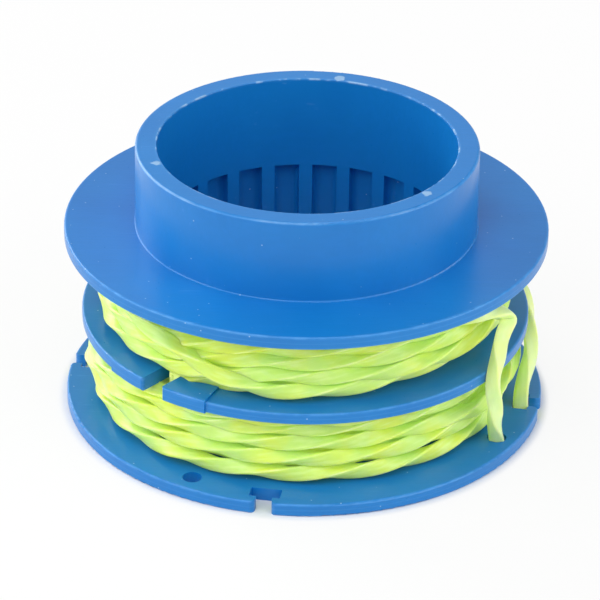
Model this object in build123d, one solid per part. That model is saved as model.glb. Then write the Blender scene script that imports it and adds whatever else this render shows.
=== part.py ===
from build123d import *
import os
from math import cos, radians, sin, tan

# Trimmer line spool: one moulded spool with two line channels, and a twisted line wound in each
# of them. Millimetres, +Z up along the spool's axis, the origin at the middle of its foot.
# Azimuths are in degrees about +Z from +X, and -90 is the front.

# Flanges and channels
flange_radius = 35.0
flange_thickness = 1.95
middle_flange_radius = 32.6
middle_flange_thickness = 1.75
lower_channel_height = 11.55
upper_channel_height = 11.55
rim_round = 0.3
root_round = 0.5

# Hub: a tube open right through, which stands above the top flange as a collar
bore_radius = 21.6
hub_wall = 3.1
collar_height = 12.25
collar_round = 0.4
collar_foot_round = 0.2
bore_edge_round = 0.15

# Drive pockets in the lower part of the bore, open at the foot
pocket_count = 24
pocket_azimuth = 8.1
pocket_width = 3.7
pocket_depth = 1.7
pocket_corner_round = 1.0

# T-shaped notches in the bottom flange's rim, which grip a parked line end
notch_count = 4
notch_azimuth = -99.3
notch_mouth_width = 2.35
notch_mouth_depth = 1.65
notch_pocket_width = 4.4
notch_pocket_depth = 2.2
notch_lip_round = 1.0

# Round parking holes in the bottom flange
hole_count = 4
hole_azimuth = -119.3
hole_diameter = 2.8
hole_inset = 3.0

# Slot in the middle flange for the folded middle of the line, between two thicker pads
slot_azimuth = -130.8
slot_width = 3.6
slot_depth = 7.0
slot_lip_round = 0.6
pad_half_angle = 15.8
pad_rise = 0.3
pad_drop = 0.1
pad_stand_out = 0.3

# Twisted line, and how it lies in its channels: its outer turns stand this far out from the hub
line_diameter = 2.0
line_gap = 0.2
line_bend_share = 0.45
turn_valley_depth = 0.75
lower_turn_heads = [4.6, 5.0, 4.8, 5.1, 4.8]
upper_turn_heads = [4.6, 5.0, 4.8, 5.2, 4.7]

# Routes of the line where it leaves its layers: radius, azimuth and height of each point
crossing_turn_route = [
    (27.4, -176, 23.6), (29.0, -165, 23.9), (29.9, -154, 24.0), (30.0, -143, 23.5), (30.0, -132, 22.2),
    (30.0, -121, 20.4), (29.9, -110, 18.6), (29.1, -99, 17.4), (27.4, -88, 17.0),
]
upper_tail_route = [
    (28.2, -64, 25.3), (29.6, -55, 25.2), (30.8, -46, 24.9), (32.1, -38, 24.5), (33.2, -32.2, 23.7),
    (33.7, -30.6, 22.0), (33.85, -32.6, 20.0), (33.9, -35.4, 17.6), (33.85, -36.9, 14.8), (33.8, -37.2, 12.0),
    (33.5, -36.2, 9.0), (32.9, -33.2, 5.8), (32.15, -29.8, 2.8), (32.0, -29.3, 0.4),
]
lower_tail_route = [
    (28.1, -54, 7.4), (29.5, -42, 7.4), (30.3, -29, 7.4), (30.6, -15, 7.6), (30.8, -1, 8.0),
    (31.2, 12.5, 8.3), (31.9, 24.6, 8.6), (32.8, 26.7, 10.5), (33.7, 24.6, 12.3), (33.7, 17.5, 12.2),
    (33.4, 10.5, 11.4), (33.1, 3.0, 10.3), (33.1, -4.0, 9.1), (32.9, -9.3, 7.0), (32.5, -11.6, 4.4),
    (32.25, -11.2, 2.0), (32.25, -11.1, 0.4),
]

# Heights and radii that follow
hub_radius = bore_radius + hub_wall
middle_flange_foot = flange_thickness + lower_channel_height
middle_flange_top = middle_flange_foot + middle_flange_thickness
top_flange_foot = middle_flange_top + upper_channel_height
top_flange_top = top_flange_foot + flange_thickness
spool_height = top_flange_top + collar_height
pocket_radius = bore_radius + pocket_depth
hole_pitch_radius = flange_radius - hole_inset
pad_radius = middle_flange_radius + pad_stand_out
pad_foot = middle_flange_foot - pad_drop
pad_top = middle_flange_top + pad_rise
cut_margin = 1.0


def at_azimuth(azimuth):
    """The place of a feature drawn along +X, turned to its azimuth."""
    return Rot(0, 0, azimuth)


def on_axis(radius, azimuth, height):
    """A point given by its radius from the spool's axis, its azimuth and its height."""
    return Vector(radius * cos(radians(azimuth)), radius * sin(radians(azimuth)), height)


def rounded(section, radius, heights, size):
    """The half-section with its corners at this radius and these heights rounded."""
    corners = [section.vertices().sort_by_distance((radius, height, 0))[0] for height in heights]
    return fillet(corners, size)


def spool_blank():
    """The turned form of the moulding: hub, three flanges and collar, with rounded edges."""
    half_section = Polyline(
        (bore_radius, 0),
        (flange_radius, 0),
        (flange_radius, flange_thickness),
        (hub_radius, flange_thickness),
        (hub_radius, middle_flange_foot),
        (middle_flange_radius, middle_flange_foot),
        (middle_flange_radius, middle_flange_top),
        (hub_radius, middle_flange_top),
        (hub_radius, top_flange_foot),
        (flange_radius, top_flange_foot),
        (flange_radius, top_flange_top),
        (hub_radius, top_flange_top),
        (hub_radius, spool_height),
        (bore_radius, spool_height),
        close=True,
    )
    section = make_face(half_section)
    channel_faces = [flange_thickness, middle_flange_foot, middle_flange_top, top_flange_foot]
    section = rounded(section, flange_radius, [0, flange_thickness, top_flange_foot, top_flange_top], rim_round)
    section = rounded(section, middle_flange_radius, [middle_flange_foot, middle_flange_top], rim_round)
    section = rounded(section, hub_radius, channel_faces, root_round)
    section = rounded(section, hub_radius, [top_flange_top], collar_foot_round)
    section = rounded(section, hub_radius, [spool_height], collar_round)
    section = rounded(section, bore_radius, [spool_height], bore_edge_round)
    return revolve(Plane.XZ * section, Axis.Z)


def drive_pockets():
    """The pockets cored into the bore from below, up to the level of the top flange."""
    depth = pocket_depth + cut_margin
    trough = Pos(pocket_radius - depth / 2, 0) * Rectangle(depth, pocket_width)
    trough = fillet(trough.vertices().group_by(Axis.X)[-1], pocket_corner_round)
    pocket = Pos(0, 0, -cut_margin) * extrude(trough, top_flange_foot + cut_margin)
    return PolarLocations(0, pocket_count, start_angle=pocket_azimuth) * pocket


def rim_opening(radius, depth, width, lip_round):
    """A slot in from a rim, drawn along +X, whose two lips are rounded into the rim."""
    half = width / 2
    start = radius - depth
    lip = radius - lip_round
    outside = radius + cut_margin
    outline = Polyline((lip, half), (start, half), (start, -half), (lip, -half))
    outline += RadiusArc((lip, -half), (radius, -half - lip_round), lip_round)
    outline += Polyline((radius, -half - lip_round), (outside, -half - lip_round),
                        (outside, half + lip_round), (radius, half + lip_round))
    outline += RadiusArc((radius, half + lip_round), (lip, half), lip_round)
    return make_face(outline)


def notches():
    """T-shaped notches: a mouth in from the rim to a wider rectangular pocket."""
    pocket_middle = flange_radius - notch_mouth_depth - notch_pocket_depth / 2
    mouth_depth = notch_mouth_depth + notch_pocket_depth / 2
    plan = rim_opening(flange_radius, mouth_depth, notch_mouth_width, notch_lip_round)
    plan += Pos(pocket_middle, 0) * Rectangle(notch_pocket_depth, notch_pocket_width)
    notch = Pos(0, 0, -cut_margin) * extrude(plan, flange_thickness + 2 * cut_margin)
    return PolarLocations(0, notch_count, start_angle=notch_azimuth) * notch


def parking_holes():
    """Round holes right through the bottom flange, each beside a notch."""
    hole = Cylinder(hole_diameter / 2, 2 * (flange_thickness + cut_margin))
    return PolarLocations(hole_pitch_radius, hole_count, start_angle=hole_azimuth) * hole


def slot_pads():
    """The thicker sector of the middle flange beside the slot, from inside the hub to the rim."""
    inner = hub_radius - hub_wall / 2
    middle = Pos((inner + pad_radius) / 2, (pad_foot + pad_top) / 2)
    section = middle * Rectangle(pad_radius - inner, pad_top - pad_foot)
    section = fillet(section.vertices().group_by(Axis.X)[-1], rim_round)
    sector = revolve(Plane.XZ * section, Axis.Z, 2 * pad_half_angle)
    return at_azimuth(slot_azimuth - pad_half_angle) * sector


def line_slot():
    """The slot through the middle flange and its pads, in from the rim."""
    plan = rim_opening(pad_radius, slot_depth, slot_width, slot_lip_round)
    slot = Pos(0, 0, pad_foot - cut_margin) * extrude(plan, pad_top - pad_foot + 2 * cut_margin)
    return at_azimuth(slot_azimuth) * slot


def spool():
    """The whole moulding."""
    body = spool_blank() + slot_pads()
    body -= line_slot()
    body -= drive_pockets()
    body -= notches()
    body -= parking_holes()
    return body


def winding(foot, top, turn_heads):
    """One channel's wound line as one solid, its outer layer of turns standing out as ridges."""
    pitch = (top - foot) / len(turn_heads)
    inner = hub_radius + line_gap
    turn_radii = [hub_radius + head for head in turn_heads]
    valleys = [min(pair) - turn_valley_depth for pair in zip(turn_radii, turn_radii[1:])]
    valleys = [turn_radii[0] - turn_valley_depth, *valleys, turn_radii[-1] - turn_valley_depth]
    outline = Polyline((valleys[-1], top), (inner, top), (inner, foot), (valleys[0], foot))
    for turn, radius in enumerate(turn_radii):
        low = foot + turn * pitch
        crest = (radius, low + pitch / 2)
        outline += ThreePointArc((valleys[turn], low), crest, (valleys[turn + 1], low + pitch))
    return revolve(Plane.XZ * make_face(outline), Axis.Z)


def line_along(route):
    """A plain round length of line, its straight runs joined by arcs as large as they allow."""
    points = [on_axis(*place) for place in route]
    radii = []
    for before, corner, after in zip(points, points[1:], points[2:]):
        half_turn = radians((corner - before).get_angle(after - corner)) / 2
        shorter_run = min((corner - before).length, (after - corner).length)
        radii.append(line_bend_share * shorter_run / tan(half_turn))
    path = FilletPolyline(*points, radius=radii)
    section = Plane(path @ 0, z_dir=path % 0) * Circle(line_diameter / 2)
    print("line run", round(path.length, 1), "mm, bends", [round(radius, 1) for radius in radii])
    return sweep(section, path)


lower_winding_foot = flange_thickness + line_gap
lower_winding_top = pad_foot - line_gap
upper_winding_foot = pad_top + line_gap
upper_winding_top = top_flange_foot - line_gap

lower_winding = winding(lower_winding_foot, lower_winding_top, lower_turn_heads)
upper_winding = winding(upper_winding_foot, upper_winding_top, upper_turn_heads)
upper_winding += line_along(crossing_turn_route)
upper_tail = line_along(upper_tail_route) - upper_winding
lower_tail = line_along(lower_tail_route) - lower_winding

os.makedirs("parts", exist_ok=True)
parts = {
    "spool": spool(),
    "lower_winding": lower_winding,
    "upper_winding": upper_winding,
    "lower_tail": lower_tail,
    "upper_tail": upper_tail,
}
for name, solid in parts.items():
    export_step(solid, f"parts/{name}.step")
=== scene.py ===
import math

import bmesh
import bpy
from mathutils import Matrix, Vector, noise


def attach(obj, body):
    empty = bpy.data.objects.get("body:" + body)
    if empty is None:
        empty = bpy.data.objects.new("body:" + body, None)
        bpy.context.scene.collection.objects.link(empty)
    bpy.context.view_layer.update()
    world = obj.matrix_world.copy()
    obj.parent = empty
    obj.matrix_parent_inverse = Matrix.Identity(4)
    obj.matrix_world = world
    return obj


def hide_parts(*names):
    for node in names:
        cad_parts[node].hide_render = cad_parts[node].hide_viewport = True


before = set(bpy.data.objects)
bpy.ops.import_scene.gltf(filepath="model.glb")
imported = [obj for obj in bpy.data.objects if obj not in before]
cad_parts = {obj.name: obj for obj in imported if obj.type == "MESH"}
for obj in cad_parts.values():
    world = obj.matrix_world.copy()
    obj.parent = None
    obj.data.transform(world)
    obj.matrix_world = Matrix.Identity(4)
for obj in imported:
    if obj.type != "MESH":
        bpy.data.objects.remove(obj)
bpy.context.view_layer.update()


# Spool: one injection moulding in blue nylon with glass fibre, an open hub with three flanges and a collar.
# Its skin is satin with a fine grain from the tool, its thin edges paler from wear and a painted highlight,
# with a parting line on each rim, a painted highlight on the collar's outer top edge and three gate scars on
# top of the collar.
class Wire:
    """One output in a material's nodes. Arithmetic on it adds Math nodes."""

    def __init__(self, socket):
        self.socket = socket

    def node(self, kind, settings, sockets, output=0):
        """A node of this kind, with its settings made first and then its sockets filled or linked."""
        tree = self.socket.id_data
        made = tree.nodes.new("ShaderNode" + kind)
        for name, value in settings.items():
            setattr(made, name, value)
        for name, value in sockets.items():
            if isinstance(value, Wire):
                tree.links.new(value.socket, made.inputs[name])
            else:
                made.inputs[name].default_value = value
        return Wire(made.outputs[output])

    def feeds(self, socket):
        self.socket.id_data.links.new(self.socket, socket)

    def maths(self, operation, first, second):
        return self.node("Math", {"operation": operation}, {0: first, 1: second})

    def __add__(self, other):
        return self.maths("ADD", self, other)

    def __radd__(self, other):
        return self.maths("ADD", other, self)

    def __sub__(self, other):
        return self.maths("SUBTRACT", self, other)

    def __rsub__(self, other):
        return self.maths("SUBTRACT", other, self)

    def __mul__(self, other):
        return self.maths("MULTIPLY", self, other)

    def __rmul__(self, other):
        return self.maths("MULTIPLY", other, self)

    def __abs__(self):
        return self.maths("ABSOLUTE", self, 0)

    def least(self, other):
        return self.maths("MINIMUM", self, other)

    def most(self, other):
        return self.maths("MAXIMUM", self, other)

    def between(self, low, high):
        """0 below low, 1 above high and a smooth rise from one to the other."""
        return self.node("MapRange", {"interpolation_type": "SMOOTHSTEP"},
                         {"Value": self, "From Min": low, "From Max": high})

    def noise(self, scale, detail):
        """Soft noise over this place, with so many waves to the metre."""
        return self.node("TexNoise", {}, {"Vector": self, "Scale": scale, "Detail": detail})

    def gap(self, point):
        """How far this place is from a point."""
        return self.node("VectorMath", {"operation": "DISTANCE"}, {0: self, 1: point}, "Value")

    def tint(self, plain, tinted):
        """A colour that goes from plain to tinted as this goes from 0 to 1."""
        ends = [shade if isinstance(shade, Wire) else (*shade, 1) for shade in (plain, tinted)]
        return self.node("Mix", {"data_type": "RGBA"}, {0: self, 6: ends[0], 7: ends[1]}, 2)


def new_finish(name):
    """A new material, its surface shader and the wire of a point's place on the object, in metres."""
    material = bpy.data.materials.new(name)
    material.use_nodes = True
    nodes = material.node_tree.nodes
    return material, nodes["Principled BSDF"], Wire(nodes.new("ShaderNodeTexCoord").outputs["Object"])


def on_axis(radius, azimuth, height):
    """A point given by its radius from the spool's axis, its azimuth in degrees and its height."""
    turned = math.radians(azimuth)
    return Vector((radius * math.cos(turned), radius * math.sin(turned), height))


collar_top = 0.041
bore_edge = (0.0216, 0, collar_top)
collar_edge = (0.02458, 0, 0.04088)
turned_edges = [
    (0.0350, 0, 0.0), (0.0350, 0, 0.00195), (0.0326, 0, 0.0135), (0.0326, 0, 0.01525),
    (0.0350, 0, 0.0268), (0.0350, 0, 0.02875), (0.0247, 0, collar_top), bore_edge,
]
parting_heights = [0.00098, 0.01438, 0.02778]
gate_scars = [on_axis(0.0225, azimuth, collar_top) for azimuth in (-162, -42, 78)]

nylon, nylon_shader, nylon_place = new_finish("satin_blue_nylon")
plan = nylon_place.node("VectorMath", {"operation": "MULTIPLY"}, {0: nylon_place, 1: (1, 1, 0)})
nylon_radius = plan.gap((0, 0, 0))
nylon_height = nylon_place.node("SeparateXYZ", {}, {0: nylon_place}, 2)
half_section = nylon_place.node("CombineXYZ", {}, {0: nylon_radius, 2: nylon_height})
cloud = nylon_place.noise(75.0, 4.0)
patches = nylon_place.noise(420.0, 3.0)
grain = nylon_place.noise(2600.0, 2.0)
fibre_lie = {"Vector": nylon_place, "Rotation": (0.2, 0.1, 0.6), "Scale": (150, 2400, 900)}
fibres = nylon_place.node("Mapping", {}, fibre_lie).noise(1.0, 2.0)

edge_gap = half_section.gap(turned_edges[0])
for edge in turned_edges[1:]:
    edge_gap = edge_gap.least(half_section.gap(edge))
# Thin edges paler in patches: partly wear, partly a painted highlight along each edge.
edge_wear_and_highlight = (1 - edge_gap.between(0.00014, 0.00045)) * (0.35 + 0.65 * patches.between(0.4, 0.65))
flash = (1 - half_section.gap(bore_edge).between(0.00012, 0.0003)) * patches.between(0.5, 0.62)
# Painted highlight: a pale line in patches along the collar's outer top edge.
collar_edge_highlight = (1 - half_section.gap(collar_edge).between(0.00008, 0.00026)) * cloud.between(0.42, 0.6)
parting_gap = abs(nylon_height - parting_heights[0])
for height in parting_heights[1:]:
    parting_gap = parting_gap.least(abs(nylon_height - height))
parting = (1 - parting_gap.between(0.00004, 0.00011)) * nylon_radius.between(0.0322, 0.0325)
scar_gap = nylon_place.gap(gate_scars[0])
for scar in gate_scars[1:]:
    scar_gap = scar_gap.least(nylon_place.gap(scar))
gate_scar = 1 - (scar_gap + 0.0024 * (patches - 0.5)).between(0.00055, 0.00085)
speck = nylon_place.node("TexVoronoi", {}, {"Vector": nylon_place, "Scale": 450.0})
speck = (1 - speck.between(0.035, 0.06)) * nylon_radius.between(0.0222, 0.0234)
scuff = fibres.between(0.66, 0.74) * cloud.between(0.5, 0.62)

nylon_blue = cloud.between(0.3, 0.7).tint((0.0040, 0.175, 0.525), (0.0055, 0.196, 0.562))
nylon_blue = (0.22 * fibres.between(0.35, 0.75)).tint(nylon_blue, (0.008, 0.205, 0.63))
nylon_blue = (0.42 * edge_wear_and_highlight).most(0.12 * parting).tint(nylon_blue, (0.09, 0.34, 0.74))
nylon_blue = (0.16 * scuff).tint(nylon_blue, (0.16, 0.42, 0.78))
# Pale marks: real flash, gate scars and specks, together with the collar edge's painted highlight.
whitened_and_highlit = (0.55 * flash).most(0.3 * collar_edge_highlight).most(0.6 * gate_scar).most(0.6 * speck)
nylon_blue = whitened_and_highlit.tint(nylon_blue, (0.42, 0.62, 0.80))
nylon_blue.feeds(nylon_shader.inputs["Base Color"])
nylon_rough = 0.25 + 0.1 * grain + 0.12 * edge_wear_and_highlight + 0.25 * gate_scar + 0.1 * scuff
nylon_rough.feeds(nylon_shader.inputs["Roughness"])
nylon_relief = grain + 0.5 * fibres + parting + 4 * gate_scar + 0.8 * patches
nylon_skin = nylon_relief.node("Bump", {}, {"Height": nylon_relief, "Strength": 0.3, "Distance": 0.00003})
nylon_skin.feeds(nylon_shader.inputs["Normal"])
nylon_shader.inputs["Specular IOR Level"].default_value = 0.45
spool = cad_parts["spool"]
spool.data.materials.clear()
spool.data.materials.append(nylon)

# Upper line: about two and a half metres of twisted, extruded nylon line, wound in the upper channel from the
# slot in the middle flange. Its last turns cross each other, and its end is folded down and parked in a round
# hole. Its section has three rounded corners; line_third holds the angle and reach of a third of its points.
line_third = [(-14, 0.00110), (-5, 0.00124), (5, 0.00124), (14, 0.00110), (42, 0.00087), (78, 0.00087)]
line_third_twist = 0.01060
wander_out, wander_up = 0.00024, 0.00020
shake_out, shake_up = 0.00010, 0.00008

line_section = bpy.data.curves.new("line_section", "CURVE")
line_section.dimensions = "2D"
line_outline = line_section.splines.new("POLY")
line_outline.points.add(3 * len(line_third) - 1)
for number, point in enumerate(line_outline.points):
    third, step = divmod(number, len(line_third))
    angle, reach = line_third[step]
    turned = math.radians(120 * third + angle)
    point.co = (reach * math.cos(turned), reach * math.sin(turned), 0, 1)
line_outline.use_cyclic_u = True
line_profile = bpy.data.objects.new("line_section", line_section)


def wound(stations, step=6):
    """Points along a winding that eases from one station (azimuth, radius and height) to the next."""
    points = []
    for (start, radius, height), (end, next_radius, next_height) in zip(stations, stations[1:]):
        count = max(1, round((end - start) / step))
        for number in range(count):
            share = number / count
            eased = share * share * (3 - 2 * share)
            azimuth = start + (end - start) * share
            wander = Vector((azimuth / 50, height * 900, radius * 900))
            shake = Vector((azimuth / 13, 7.5, azimuth / 360))
            out = wander_out * noise.noise(wander) + shake_out * noise.noise(shake)
            up = wander_up * noise.noise(wander.yzx) + shake_up * noise.noise(shake.zxy)
            points.append(on_axis(
                radius + (next_radius - radius) * eased + out,
                azimuth,
                height + (next_height - height) * eased + up,
            ))
    return points


def helix(start, end, radius, first_height, last_height):
    """Stations of one layer laid as an even helix."""
    steps = 8
    turn = (end - start) / steps
    rise = (last_height - first_height) / steps
    return [(start + turn * step, radius, first_height + rise * step) for step in range(steps + 1)]


def line(name, points, turned):
    """A line of twisted three-sided section along these points, as one smooth open curve."""
    curve = bpy.data.curves.new(name, "CURVE")
    curve.dimensions = "3D"
    spline = curve.splines.new("NURBS")
    spline.points.add(len(points) - 1)
    runs = [0.0]
    for before, after in zip(points, points[1:]):
        runs.append(runs[-1] + (after - before).length)
    for control, point, run in zip(spline.points, points, runs):
        control.co = (*point, 1)
        control.tilt = math.tau / 3 * (runs[-1] / 2 - run) / line_third_twist + math.radians(turned)
    spline.order_u = 3
    spline.use_endpoint_u = True
    spline.resolution_u = 3
    spline.use_smooth = True
    curve.twist_mode = "MINIMUM"
    curve.bevel_mode = "OBJECT"
    curve.bevel_object = line_profile
    curve.use_fill_caps = True
    piece = bpy.data.objects.new(name, curve)
    bpy.context.scene.collection.objects.link(piece)
    return piece


lime, lime_shader, lime_place = new_finish("lime_nylon_line")
lime_along = lime_place.node("UVMap", {"uv_map": "UVMap"}, {})
lime_thirds = 3 * lime_along.node("SeparateXYZ", {}, {0: lime_along}, 1)
lime_corner = abs(lime_thirds.maths("FRACT", lime_thirds, 0) - 0.25)
lime_plan = lime_place.node("VectorMath", {"operation": "MULTIPLY"}, {0: lime_place, 1: (1, 1, 0)})
# The line is paler where it runs beyond about 31 to 33 mm from the axis.
lime_outer_pale = lime_plan.gap((0, 0, 0)).between(0.0312, 0.0328)
lime_cloud = lime_place.noise(140.0, 3.0)
lime_frost = lime_place.noise(380.0, 4.0)
lime_drawn = lime_along.node("Mapping", {}, {"Vector": lime_along, "Scale": (700, 14, 1)}).noise(1.0, 3.0)
# The corners of the line's section are paler in patches: frosting and painted glints.
lime_corner_frost_and_glint = (1 - lime_corner.between(0.03, 0.16)) * lime_frost.between(0.45, 0.6)

lime_colour = lime_cloud.between(0.4, 0.66).tint((0.54, 0.77, 0.185), (0.64, 0.78, 0.10))
lime_colour = (0.5 * lime_drawn.between(0.42, 0.7)).tint(lime_colour, (0.70, 0.87, 0.34))
lime_colour = (0.35 * lime_corner_frost_and_glint).most(0.5 * lime_outer_pale).tint(lime_colour, (0.82, 0.93, 0.56))
lime_colour.feeds(lime_shader.inputs["Base Color"])
# Painted glow: the line also glows in its own colour, which lifts its shade.
lime_colour.feeds(lime_shader.inputs["Emission Color"])
(0.22 + 0.2 * lime_drawn + 0.1 * lime_frost).feeds(lime_shader.inputs["Roughness"])
lime_relief = lime_drawn + 0.6 * lime_frost
lime_skin = lime_relief.node("Bump", {}, {"Height": lime_relief, "Strength": 0.5, "Distance": 0.0001})
lime_skin.feeds(lime_shader.inputs["Normal"])
lime_shader.inputs["Subsurface Weight"].default_value = 1.0
lime_shader.inputs["Subsurface Radius"].default_value = (1.0, 1.0, 0.35)
lime_shader.inputs["Subsurface Scale"].default_value = 0.001
lime_shader.inputs["Emission Strength"].default_value = 0.12

inner_layer, middle_layer, outer_layer = 0.0256, 0.0266, 0.0288
upper_heights = [0.01705, 0.0192, 0.02135, 0.0235, 0.0255]
slot_azimuth = -130.8
slot_way = on_axis(0.0285, slot_azimuth, 0.0145)
upper_stations = [(slot_azimuth, 0.0285, 0.0145), (-119, 0.0278, 0.0162)]
upper_stations += helix(-70, 1510, inner_layer, upper_heights[0], upper_heights[4])
upper_stations += helix(1590, 3280, middle_layer, upper_heights[4], upper_heights[0])
upper_stations += [
    (3350, outer_layer, upper_heights[0]), (3440, 0.0292, 0.01705), (3467, 0.0292, 0.0171),
    (3503, outer_layer, upper_heights[1]), (3555, 0.0292, 0.0189), (3620, outer_layer, upper_heights[1]),
    (3790, outer_layer, upper_heights[1]), (3822, 0.0291, 0.0193),
    (3858, outer_layer, upper_heights[2]), (4150, outer_layer, upper_heights[2]), (4184, 0.0290, 0.0214),
    (4220, outer_layer, upper_heights[3]), (4500, outer_layer, upper_heights[3]),
    (4518, 0.0295, 0.0241), (4531, 0.0302, 0.0237), (4544, 0.0304, 0.0224), (4557, 0.0304, 0.0205),
    (4569, 0.0302, 0.0183), (4581, 0.0293, 0.0171), (4600, outer_layer, 0.01715),
    (4620, 0.0283, 0.0176), (4650, 0.0281, 0.0178), (4700, 0.0285, 0.0173),
    (4730, outer_layer, upper_heights[0]), (4752, 0.0304, 0.0182), (4785, 0.0304, 0.0242),
    (4806, outer_layer, upper_heights[4]), (4976, outer_layer, upper_heights[4]),
]
upper_tail = [
    (0.0296, -55, 0.0253), (0.0306, -47.5, 0.0253), (0.0315, -41.5, 0.0250), (0.0323, -36.5, 0.0245),
    (0.0330, -32.2, 0.0236), (0.0335, -30.6, 0.0227), (0.0338, -31.3, 0.0220), (0.03395, -33.6, 0.0219),
    (0.03395, -35.4, 0.0210), (0.03385, -36.1, 0.0194), (0.0338, -36.0, 0.0170), (0.03385, -37.3, 0.0145),
    (0.0338, -37.2, 0.0122), (0.0336, -36.2, 0.0098), (0.0333, -35.0, 0.0074), (0.0327, -32.5, 0.0049),
    (0.03215, -29.9, 0.0026), (0.0320, -29.3, 0.0004),
]
upper_points = wound(upper_stations) + [on_axis(*place) for place in upper_tail]
upper_line = line("upper_line", upper_points, turned=49)
upper_line.data.materials.append(lime)
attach(upper_line, "root")
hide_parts("upper_winding", "upper_tail")

# Lower line: the other half of the same length of line, wound in the lower channel from the slot. Its end
# lies loose along the outer turns on the right, is folded back and is parked in a notch of the bottom flange.
lower_heights = [0.0036, 0.0062, 0.0086, 0.0108, 0.0123]
lower_stations = [(slot_azimuth, 0.0285, 0.0143), (-119, 0.0280, 0.0127)]
lower_stations += helix(-70, 1510, inner_layer, lower_heights[4], lower_heights[0])
lower_stations += helix(1590, 3280, middle_layer, lower_heights[0], lower_heights[4])
lower_stations += [
    (3350, outer_layer, lower_heights[4]), (3445, 0.0297, 0.0123), (3480, 0.0297, 0.0123),
    (3510, outer_layer, lower_heights[4]), (3630, outer_layer, lower_heights[4]),
    (3675, outer_layer, lower_heights[3]), (3750, 0.0296, 0.0106), (3783, 0.0310, 0.0108),
    (3800, 0.0308, 0.0107), (3830, 0.0294, 0.0106),
    (3870, outer_layer, lower_heights[3]), (3990, outer_layer, lower_heights[3]),
    (4035, outer_layer, lower_heights[0]), (4120, 0.0294, 0.0034), (4150, 0.0299, 0.0035),
    (4185, 0.0298, 0.0036), (4220, 0.0290, lower_heights[0]), (4335, outer_layer, lower_heights[0]),
    (4365, 0.0303, 0.0044), (4385, 0.0304, 0.0052), (4410, outer_layer, lower_heights[1]),
    (4475, 0.0298, 0.0062), (4503, 0.0312, 0.0066),
    (4520, 0.0306, 0.0063), (4540, 0.0298, 0.0060), (4565, 0.0291, lower_heights[1]),
    (4690, outer_layer, lower_heights[1]),
    (4712, 0.0303, 0.0067), (4735, 0.0304, 0.0077), (4760, outer_layer, lower_heights[2]),
    (4845, 0.0299, 0.0086), (4866, 0.0311, 0.0088),
    (4884, 0.0307, 0.0086), (4905, 0.0298, 0.0084), (4925, 0.0291, lower_heights[2]),
    (4980, outer_layer, lower_heights[2]),
]
lower_tail = [
    (0.0295, -42, 0.0076), (0.0303, -29, 0.0076), (0.0306, -15, 0.0077), (0.0308, -1, 0.0080),
    (0.0312, 12.5, 0.0083), (0.0319, 24.6, 0.0086), (0.0328, 26.7, 0.0105), (0.0337, 24.6, 0.0123),
    (0.0337, 17.5, 0.0122), (0.0334, 10.5, 0.0114), (0.0331, 3.0, 0.0103), (0.0331, -4.0, 0.0091),
    (0.0329, -9.3, 0.0070), (0.0325, -11.6, 0.0044), (0.03225, -11.2, 0.0020), (0.03225, -11.1, 0.0004),
]
lower_points = wound(lower_stations) + [on_axis(*place) for place in lower_tail]
lower_line = line("lower_line", lower_points, turned=57)
lower_line.data.materials.append(lime)
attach(lower_line, "root")
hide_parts("lower_winding", "lower_tail")

# Studio: a white floor that fades into the background, darkened under the spool as painted shade, and soft
# light from above and from both sides.
# The camera stands in front, a little above the spool, where the photograph was taken.
studio = bmesh.new()
bmesh.ops.create_grid(studio, x_segments=1, y_segments=1, size=2.0)
floor_mesh = bpy.data.meshes.new("floor")
studio.to_mesh(floor_mesh)
studio.free()
floor = bpy.data.objects.new("floor", floor_mesh)
bpy.context.scene.collection.objects.link(floor)

paper, paper_shader, paper_place = new_finish("white_paper")
paper_shader.inputs["Base Color"].default_value = (0.85, 0.85, 0.85, 1)
paper_shader.inputs["Roughness"].default_value = 0.9
paper_shader.inputs["Specular IOR Level"].default_value = 0.0
seen = paper_place.node("LightPath", {}, {}, "Is Camera Ray")
shown = seen.most(seen.node("LightPath", {}, {}, "Is Glossy Ray"))
shown = shown.most(seen.node("LightPath", {}, {}, "Is Transmission Ray"))
# Painted shade: the floor's white glow stops under the spool and rises over the next 1.5 mm beyond it, so the
# floor is darker there.
clear = 0.86 * paper_place.gap((0, 0, 0)).between(0.0350, 0.0365)
glow = seen.node("Emission", {}, {"Color": (1, 1, 1, 1), "Strength": 1.0})
part_glow = seen.node("MixShader", {}, {0: shown * clear, 1: Wire(paper_shader.outputs[0]), 2: glow})
part_glow.feeds(paper.node_tree.nodes["Material Output"].inputs["Surface"])
floor_mesh.materials.append(paper)

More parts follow.
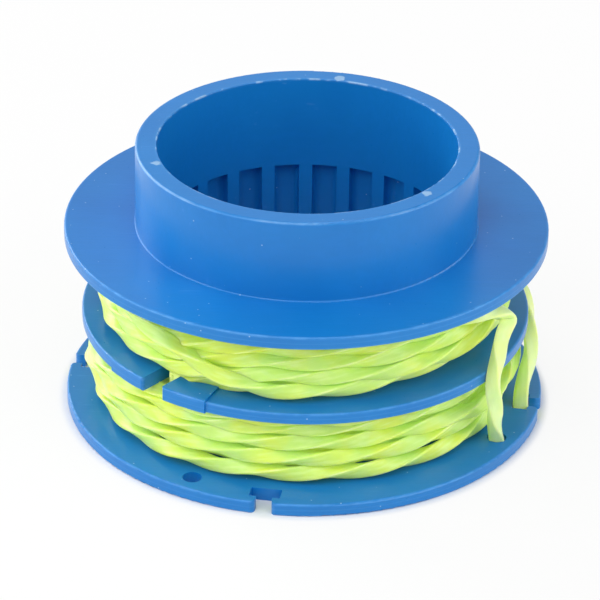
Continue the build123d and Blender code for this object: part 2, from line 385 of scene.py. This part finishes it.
world = bpy.data.worlds.new("studio")
bpy.context.scene.world = world
world.use_nodes = True
sky = world.node_tree.nodes["Background"]
sky.inputs["Color"].default_value = (1, 1, 1, 1)
light_path = world.node_tree.nodes.new("ShaderNodeLightPath")
sky_way = Wire(world.node_tree.nodes.new("ShaderNodeTexCoord").outputs["Generated"])
sky_side = sky_way.node("SeparateXYZ", {}, {0: sky_way}, 0)
seen_white = Wire(light_path.outputs["Is Camera Ray"])
mirrored = Wire(light_path.outputs["Is Glossy Ray"])
mirrored = mirrored.most(Wire(light_path.outputs["Is Transmission Ray"]))
backdrop = 0.85 - 0.28 * sky_side.between(-0.4, 0.6)
fill_light = 0.33
seen_white.most(mirrored * backdrop).most(fill_light).feeds(sky.inputs["Strength"])

soft_box_size = 0.6
lit_place = Vector((0, 0, 0.02))


def soft_box(name, place, power):
    """A square soft light at this place, turned to the spool."""
    lamp = bpy.data.lights.new(name, "AREA")
    lamp.shape = "RECTANGLE"
    lamp.size, lamp.size_y = soft_box_size, soft_box_size
    lamp.energy = power
    holder = bpy.data.objects.new(name, lamp)
    holder.location = place
    holder.rotation_euler = (lit_place - Vector(place)).to_track_quat("-Z", "Y").to_euler()
    bpy.context.scene.collection.objects.link(holder)


soft_box("top_light", (0, -0.3, 0.95), 2.2)
soft_box("front_left_light", (-0.45, -0.65, 0.65), 3.0)
soft_box("front_right_light", (0.6, -0.6, 0.6), 2.3)
soft_box("left_light", (-1.0, -0.2, 0.38), 4.3)
soft_box("right_light", (1.0, -0.2, 0.25), 3.8)
soft_box("back_left_light", (-0.7, 0.6, 0.4), 4.8)

camera_data = bpy.data.cameras.new("camera")
camera_data.sensor_width = 36.0
camera_data.lens = 230.605
camera = bpy.data.objects.new("camera", camera_data)
bpy.context.scene.collection.objects.link(camera)
camera.location = (0, -0.492789, 0.285648)
aim = Vector((-0.000783, 0, 0.015493)) - camera.location
roll = Matrix.Rotation(math.radians(0.765), 4, "Z")
turn = aim.to_track_quat("-Z", "Y").to_matrix().to_4x4()
camera.matrix_world = Matrix.Translation(camera.location) @ turn @ roll
camera_data.clip_start = 0.01
camera_data.clip_end = 20.0
bpy.context.scene.camera = camera
bpy.context.scene.view_settings.view_transform = "Standard"
